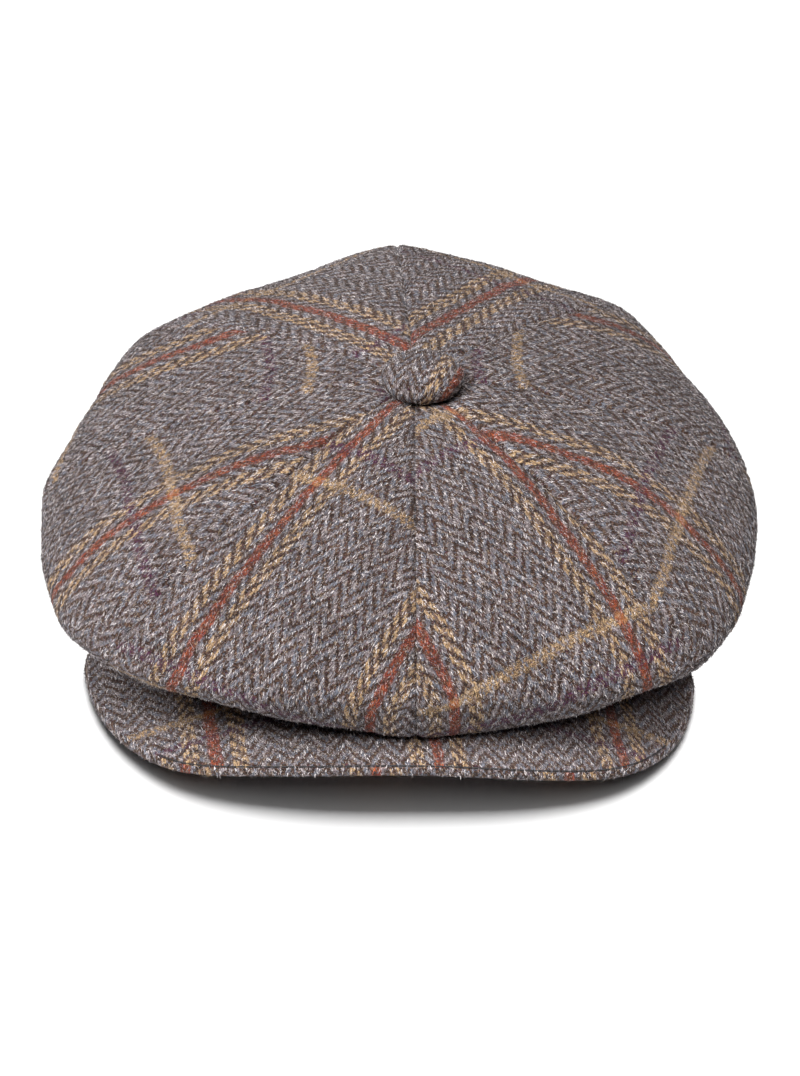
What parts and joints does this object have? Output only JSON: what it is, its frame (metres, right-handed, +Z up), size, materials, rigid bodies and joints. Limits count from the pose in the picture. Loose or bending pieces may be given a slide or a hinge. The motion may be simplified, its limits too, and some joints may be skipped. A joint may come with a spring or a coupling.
{
  "type": "flat cap",
  "caption": "Soft flat cap of the newsboy kind: tweed gores meet under a covered button, fold over a head band and overhang a stiff curved peak.",
  "frame": {"origin": "middle of the cap's outline, on the surface that its band rests on", "axes": "+Z up through the crown, -Y the way the peak points, +X to the right as seen from the front"},
  "size_m": [0.2476, 0.2726, 0.0896],
  "materials": {
    "tweed": "woollen herringbone tweed, grey and brown, with rust, straw and plum check lines"
  },
  "bodies": {
    "root": {"panel_front_right": "tweed", "panel_right_front": "tweed", "panel_right_back": "tweed", "panel_back_right": "tweed", "panel_back_left": "tweed", "panel_left_back": "tweed", "panel_left_front": "tweed", "panel_front_left": "tweed", "head_band": "tweed", "peak": "tweed", "top_button": "tweed"}
  },
  "joints": []
}
